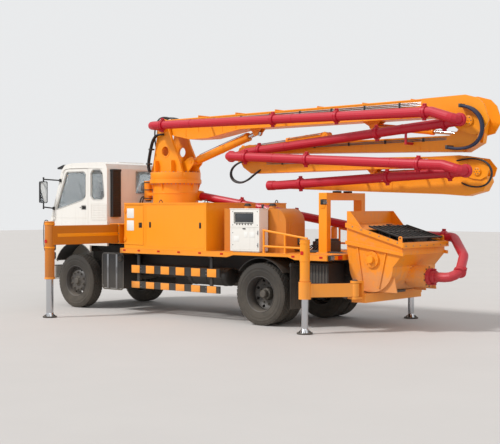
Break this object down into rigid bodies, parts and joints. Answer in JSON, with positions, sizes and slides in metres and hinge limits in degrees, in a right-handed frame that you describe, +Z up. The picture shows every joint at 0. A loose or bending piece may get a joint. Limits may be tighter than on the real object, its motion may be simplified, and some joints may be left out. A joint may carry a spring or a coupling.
{
  "type": "truck-mounted concrete pump with a four section folding boom",
  "caption": "Two-axle concrete pump truck: white tilting cab, yellow folding boom with red pipes over the deck, rear hopper, sliding front and swinging rear legs set down.",
  "frame": {"origin": "centre of the whole part's footprint at ground level", "axes": "+X forward to the bumper, +Y to the driver's left, +Z up"},
  "size_m": [9.18, 5.1698, 3.59],
  "materials": {
    "yellow_paint": "gloss machine enamel",
    "red_paint": "gloss enamel on pipes",
    "white_paint": "gloss cab enamel",
    "black_paint": "satin chassis black",
    "tank_paint": "faded orange",
    "grey_steel": "oily cast metal",
    "chrome_rod": "hard chrome",
    "glass": "tinted",
    "trim_plastic": "black moulded",
    "tyre_rubber": "dusty rubber on painted rims"
  },
  "bodies": {
    "chassis": {"chassis_frame": "black_paint", "front_bumper": "white_paint", "front_axle": "black_paint", "rear_axle": "black_paint", "driveline": "grey_steel", "underbody": "black_paint", "side_guards": "black_paint", "deck": "yellow_paint", "pedestal": "yellow_paint", "cabinet": "yellow_paint", "control_box": "white_paint", "hydraulic_tank": "tank_paint", "railings": "yellow_paint", "boom_rest": "yellow_paint", "hopper": "yellow_paint", "rear_frame": "yellow_paint", "delivery_pipe": "red_paint"},
    "cab": {"cab_shell": "white_paint", "cab_glass": "glass", "cab_interior": "trim_plastic", "cab_trim": "trim_plastic"},
    "cab_door_left": {"door_left": "white_paint", "door_glass_left": "glass"},
    "cab_door_right": {"door_right": "white_paint", "door_glass_right": "glass"},
    "locker_door": {"cabinet_door": "yellow_paint"},
    "grate": {"hopper_grate": "black_paint"},
    "steer_left": {"knuckle_left": "grey_steel"},
    "steer_right": {"knuckle_right": "grey_steel"},
    "front_wheel_left": {"wheel_front_left": "tyre_rubber"},
    "front_wheel_right": {"wheel_front_right": "tyre_rubber"},
    "rear_wheel_left": {"wheel_rear_left": "tyre_rubber"},
    "rear_wheel_right": {"wheel_rear_right": "tyre_rubber"},
    "slew_turret": {"turret": "yellow_paint"},
    "section_1": {"boom_1": "yellow_paint", "pipe_1": "red_paint"},
    "cylinder_1": {"barrel_1": "yellow_paint"},
    "piston_1": {"rod_1": "chrome_rod"},
    "section_2": {"boom_2": "yellow_paint", "pipe_2": "red_paint"},
    "cylinder_2": {"barrel_2": "yellow_paint"},
    "piston_2": {"rod_2": "chrome_rod"},
    "section_3": {"boom_3": "yellow_paint", "pipe_3": "red_paint"},
    "cylinder_3": {"barrel_3": "yellow_paint"},
    "piston_3": {"rod_3": "chrome_rod"},
    "section_4": {"boom_4": "yellow_paint", "pipe_4": "red_paint"},
    "cylinder_4": {"barrel_4": "yellow_paint"},
    "piston_4": {"rod_4": "chrome_rod"},
    "front_beam_left": {"outrigger_left": "yellow_paint"},
    "front_jack_left": {"jack_left": "chrome_rod"},
    "swing_arm_left": {"rear_arm_left": "yellow_paint"},
    "swing_jack_left": {"rear_jack_left": "chrome_rod"},
    "front_beam_right": {"outrigger_right": "yellow_paint"},
    "front_jack_right": {"jack_right": "chrome_rod"},
    "swing_arm_right": {"rear_arm_right": "yellow_paint"},
    "swing_jack_right": {"rear_jack_right": "chrome_rod"}
  },
  "joints": [
    {"name": "steer_left_turn", "type": "hinge", "parent": "chassis", "child": "steer_left", "pos_m": [3.74, 0.62, 0.51], "axis": [0, 0, 1], "range_deg": [-30, 30]},
    {"name": "front_left_spin", "type": "hinge", "parent": "steer_left", "child": "front_wheel_left", "pos_m": [3.74, 0.845, 0.51], "axis": [0, 1, 0], "continuous": true},
    {"name": "rear_left_spin", "type": "hinge", "parent": "chassis", "child": "rear_wheel_left", "pos_m": [-0.96, 0.815, 0.51], "axis": [0, 1, 0], "continuous": true},
    {"name": "door_left_open", "type": "hinge", "parent": "cab", "child": "cab_door_left", "pos_m": [4.373, 0.998, 1.55], "axis": [0, 0, -1], "range_deg": [0, 70]},
    {"name": "front_left_reach", "type": "slide", "parent": "chassis", "child": "front_beam_left", "axis": [0, -1, 0], "range_m": [0, 1.4]},
    {"name": "front_left_lift", "type": "slide", "parent": "front_beam_left", "child": "front_jack_left", "axis": [0, 0, 1], "range_m": [0, 0.45]},
    {"name": "rear_left_swing", "type": "hinge", "parent": "chassis", "child": "swing_arm_left", "pos_m": [-2.71, 0.9, 0.66], "axis": [0, 0, 1], "range_deg": [-30, 60]},
    {"name": "rear_left_lift", "type": "slide", "parent": "swing_arm_left", "child": "swing_jack_left", "axis": [0, 0, 1], "range_m": [0, 0.4]},
    {"name": "steer_right_turn", "type": "hinge", "parent": "chassis", "child": "steer_right", "pos_m": [3.74, -0.62, 0.51], "axis": [0, 0, 1], "range_deg": [-30, 30]},
    {"name": "front_right_spin", "type": "hinge", "parent": "steer_right", "child": "front_wheel_right", "pos_m": [3.74, -0.845, 0.51], "axis": [0, 1, 0], "continuous": true},
    {"name": "rear_right_spin", "type": "hinge", "parent": "chassis", "child": "rear_wheel_right", "pos_m": [-0.96, -0.815, 0.51], "axis": [0, 1, 0], "continuous": true},
    {"name": "door_right_open", "type": "hinge", "parent": "cab", "child": "cab_door_right", "pos_m": [4.373, -0.998, 1.55], "axis": [0, 0, 1], "range_deg": [0, 70]},
    {"name": "front_right_reach", "type": "slide", "parent": "chassis", "child": "front_beam_right", "axis": [0, 1, 0], "range_m": [0, 1.4]},
    {"name": "front_right_lift", "type": "slide", "parent": "front_beam_right", "child": "front_jack_right", "axis": [0, 0, 1], "range_m": [0, 0.45]},
    {"name": "rear_right_swing", "type": "hinge", "parent": "chassis", "child": "swing_arm_right", "pos_m": [-2.71, -0.9, 0.66], "axis": [0, 0, -1], "range_deg": [-30, 60]},
    {"name": "rear_right_lift", "type": "slide", "parent": "swing_arm_right", "child": "swing_jack_right", "axis": [0, 0, 1], "range_m": [0, 0.4]},
    {"name": "cab_tilt", "type": "hinge", "parent": "chassis", "child": "cab", "pos_m": [4.51, 0, 0.83], "axis": [0, 1, 0], "range_deg": [0, 45]},
    {"name": "locker_open", "type": "hinge", "parent": "chassis", "child": "locker_door", "pos_m": [2.227, 1.095, 1.6], "axis": [0, 0, -1], "range_deg": [0, 95]},
    {"name": "grate_open", "type": "hinge", "parent": "chassis", "child": "grate", "pos_m": [-3.34, 0, 1.452], "axis": [0, -1, 0], "range_deg": [0, 88]},
    {"name": "slew", "type": "hinge", "parent": "chassis", "child": "slew_turret", "pos_m": [2.01, 0, 2.44], "axis": [0, 0, 1], "range_deg": [-120, 120]},
    {"name": "boom_lift", "type": "hinge", "parent": "slew_turret", "child": "section_1", "pos_m": [2.09, 0, 3.42], "axis": [0, 1, 0], "range_deg": [0, 85]},
    {"name": "fold_2", "type": "hinge", "parent": "section_1", "child": "section_2", "pos_m": [-4.26, 0, 3.2], "axis": [0, 1, 0], "range_deg": [0, 180]},
    {"name": "fold_3", "type": "hinge", "parent": "section_2", "child": "section_3", "pos_m": [0.19, 0, 2.8], "axis": [0, -1, 0], "range_deg": [0, 180]},
    {"name": "fold_4", "type": "hinge", "parent": "section_3", "child": "section_4", "pos_m": [-4.36, 0, 2.45], "axis": [0, 1, 0], "range_deg": [0, 180]},
    {"name": "cylinder_1_tilt", "type": "hinge", "parent": "slew_turret", "child": "cylinder_1", "pos_m": [1.51, 0, 2.76], "axis": [0, 1, 0], "range_deg": [-1, 78.23]},
    {"name": "cylinder_1_stroke", "type": "slide", "parent": "cylinder_1", "child": "piston_1", "axis": [-0.9563, 0, 0.2925], "range_m": [-0.002, 1.155]},
    {"name": "cylinder_2_tilt", "type": "hinge", "parent": "section_1", "child": "cylinder_2", "pos_m": [-2.46, 0, 3.215], "axis": [0, 1, 0], "range_deg": [-1.66, 1]},
    {"name": "cylinder_2_stroke", "type": "slide", "parent": "cylinder_2", "child": "piston_2", "axis": [-0.9926, 0, -0.1211], "range_m": [-0.002, 0.1156]},
    {"name": "cylinder_3_tilt", "type": "hinge", "parent": "section_2", "child": "cylinder_3", "pos_m": [-1.52, 0, 3.125], "axis": [0, 1, 0], "range_deg": [-1, 1.05]},
    {"name": "cylinder_3_stroke", "type": "slide", "parent": "cylinder_3", "child": "piston_3", "axis": [0.9966, 0, -0.0826], "range_m": [-0.1755, 0.002]},
    {"name": "cylinder_4_tilt", "type": "hinge", "parent": "section_3", "child": "cylinder_4", "pos_m": [-2.46, 0, 2.462], "axis": [0, 1, 0], "range_deg": [-1.89, 1]},
    {"name": "cylinder_4_stroke", "type": "slide", "parent": "cylinder_4", "child": "piston_4", "axis": [-0.9999, 0, 0.0144], "range_m": [-0.0094, 0.002]}
  ],
  "couplings": [
    {"joint": "steer_right_turn", "follows": "steer_left_turn", "ratio": 1},
    {"joint": "fold_2", "follows": "boom_lift", "ratio": 0.35},
    {"joint": "fold_3", "follows": "boom_lift", "ratio": 0.6},
    {"joint": "fold_4", "follows": "boom_lift", "ratio": 0.2},
    {"joint": "cylinder_1_tilt", "follows": "boom_lift", "ratio": 0.90858},
    {"joint": "cylinder_1_stroke", "follows": "boom_lift", "m_per_rad": 0.77719},
    {"joint": "cylinder_2_tilt", "follows": "boom_lift", "ratio": -0.007806},
    {"joint": "cylinder_2_stroke", "follows": "boom_lift", "m_per_rad": 0.076565},
    {"joint": "cylinder_3_tilt", "follows": "boom_lift", "ratio": 0.000612},
    {"joint": "cylinder_3_stroke", "follows": "boom_lift", "m_per_rad": -0.11698},
    {"joint": "cylinder_4_tilt", "follows": "boom_lift", "ratio": -0.01042},
    {"joint": "cylinder_4_stroke", "follows": "boom_lift", "m_per_rad": -0.004963}
  ]
}
